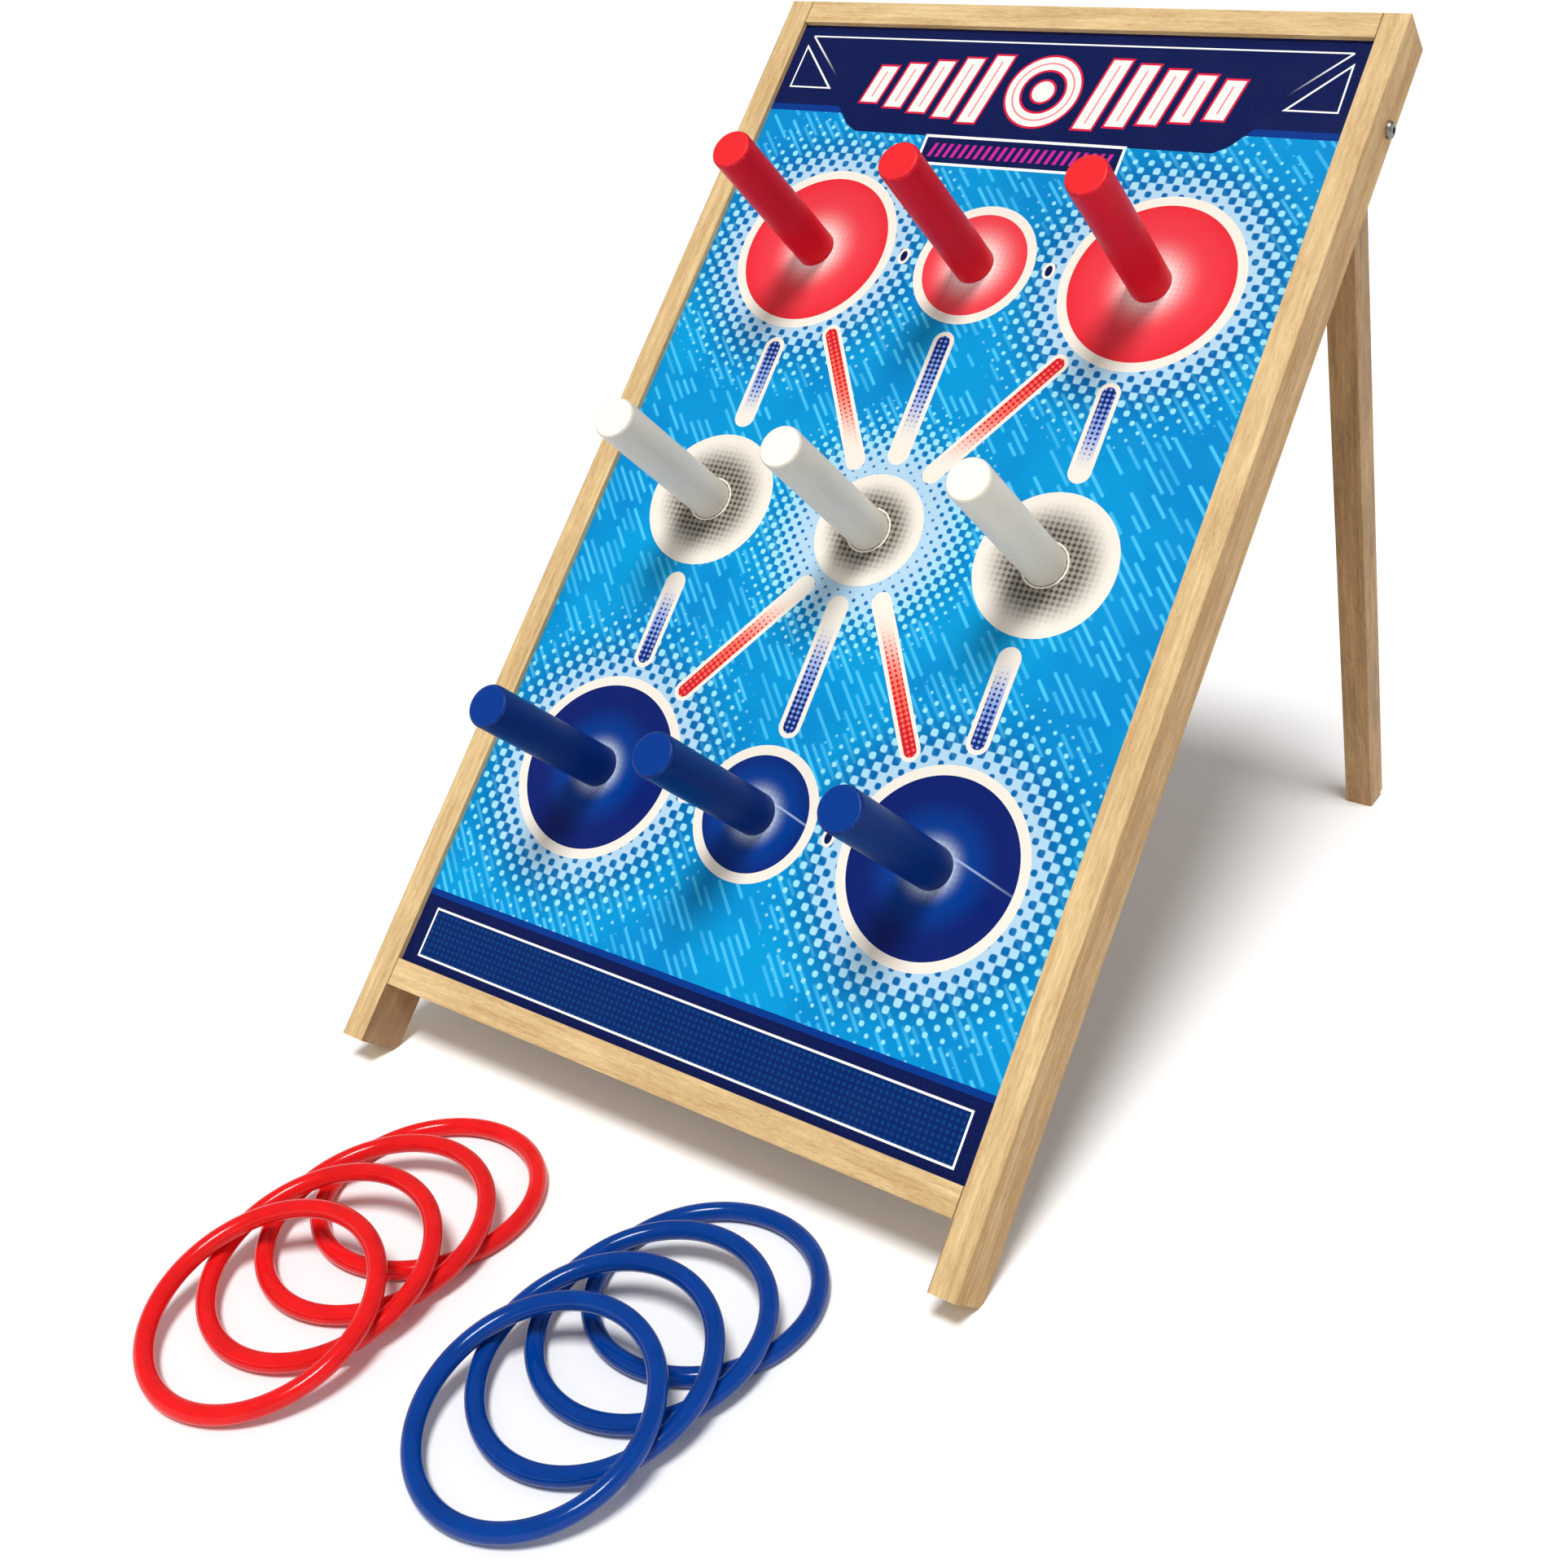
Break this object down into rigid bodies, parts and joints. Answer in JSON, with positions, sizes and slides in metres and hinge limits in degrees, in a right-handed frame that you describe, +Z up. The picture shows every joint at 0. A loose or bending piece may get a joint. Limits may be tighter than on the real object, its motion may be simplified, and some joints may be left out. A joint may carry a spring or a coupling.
{
  "type": "ring toss set",
  "caption": "Leaning wooden peg board on two folding rear legs, with a printed panel, round pegs in three colours and loose toss rings in two colours.",
  "frame": {"origin": "on the ground, under the middle of the whole set: the board, its legs and the rings in front of it", "axes": "+Z up; the board's face and its pegs look towards -Y, the player; +X is to the right of somebody standing behind the player and facing the board"},
  "size_m": [0.4466, 0.8622, 0.5627],
  "materials": {
    "pine": "sanded pine with a clear satin lacquer",
    "dowel": "plain turned wood",
    "panel": "fibreboard with a satin printed face",
    "red_peg": "satin paint",
    "white_peg": "satin paint",
    "blue_peg": "satin paint",
    "red_ring": "glossy moulded plastic",
    "blue_ring": "glossy moulded plastic",
    "steel": "zinc plated"
  },
  "bodies": {
    "board": {"left_stile": "pine", "right_stile": "pine", "top_rail": "pine", "bottom_rail": "pine", "game_panel": "panel", "red_peg_left": "red_peg", "red_peg_middle": "red_peg", "red_peg_right": "red_peg", "white_peg_left": "white_peg", "white_peg_middle": "white_peg", "white_peg_right": "white_peg", "blue_peg_left": "blue_peg", "blue_peg_middle": "blue_peg", "blue_peg_right": "blue_peg", "peg_screws": "steel", "corner_dowels": "dowel", "left_pivot_bolt": "steel", "right_pivot_bolt": "steel", "left_lock_nut": "steel", "right_lock_nut": "steel", "pivot_washers": "steel"},
    "left_leg": {"left_rear_leg": "pine"},
    "right_leg": {"right_rear_leg": "pine"},
    "red_ring_4": {"red_ring_4": "red_ring"},
    "red_ring_3": {"red_ring_3": "red_ring"},
    "red_ring_2": {"red_ring_2": "red_ring"},
    "red_ring_1": {"red_ring_1": "red_ring"},
    "blue_ring_4": {"blue_ring_4": "blue_ring"},
    "blue_ring_3": {"blue_ring_3": "blue_ring"},
    "blue_ring_2": {"blue_ring_2": "blue_ring"},
    "blue_ring_1": {"blue_ring_1": "blue_ring"}
  },
  "joints": [
    {"name": "left_leg_fold", "type": "hinge", "parent": "board", "child": "left_leg", "pos_m": [-0.21175, 0.29238, 0.50232], "axis": [-1, 0, 0], "range_deg": [0, 57.7]},
    {"name": "right_leg_fold", "type": "hinge", "parent": "board", "child": "right_leg", "pos_m": [0.21175, 0.29238, 0.50232], "axis": [-1, 0, 0], "range_deg": [0, 57.7]},
    {"name": "red_ring_4_lift", "type": "slide", "parent": "board", "child": "red_ring_4", "axis": [0, 0, 1], "range_m": [0, 0.25]},
    {"name": "red_ring_3_lift", "type": "slide", "parent": "red_ring_4", "child": "red_ring_3", "axis": [0, 0, 1], "range_m": [0, 0.25]},
    {"name": "red_ring_2_lift", "type": "slide", "parent": "red_ring_3", "child": "red_ring_2", "axis": [0, 0, 1], "range_m": [0, 0.25]},
    {"name": "red_ring_1_lift", "type": "slide", "parent": "red_ring_2", "child": "red_ring_1", "axis": [0, 0, 1], "range_m": [0, 0.25]},
    {"name": "blue_ring_4_lift", "type": "slide", "parent": "board", "child": "blue_ring_4", "axis": [0, 0, 1], "range_m": [0, 0.25]},
    {"name": "blue_ring_3_lift", "type": "slide", "parent": "blue_ring_4", "child": "blue_ring_3", "axis": [0, 0, 1], "range_m": [0, 0.25]},
    {"name": "blue_ring_2_lift", "type": "slide", "parent": "blue_ring_3", "child": "blue_ring_2", "axis": [0, 0, 1], "range_m": [0, 0.25]},
    {"name": "blue_ring_1_lift", "type": "slide", "parent": "blue_ring_2", "child": "blue_ring_1", "axis": [0, 0, 1], "range_m": [0, 0.25]}
  ]
}
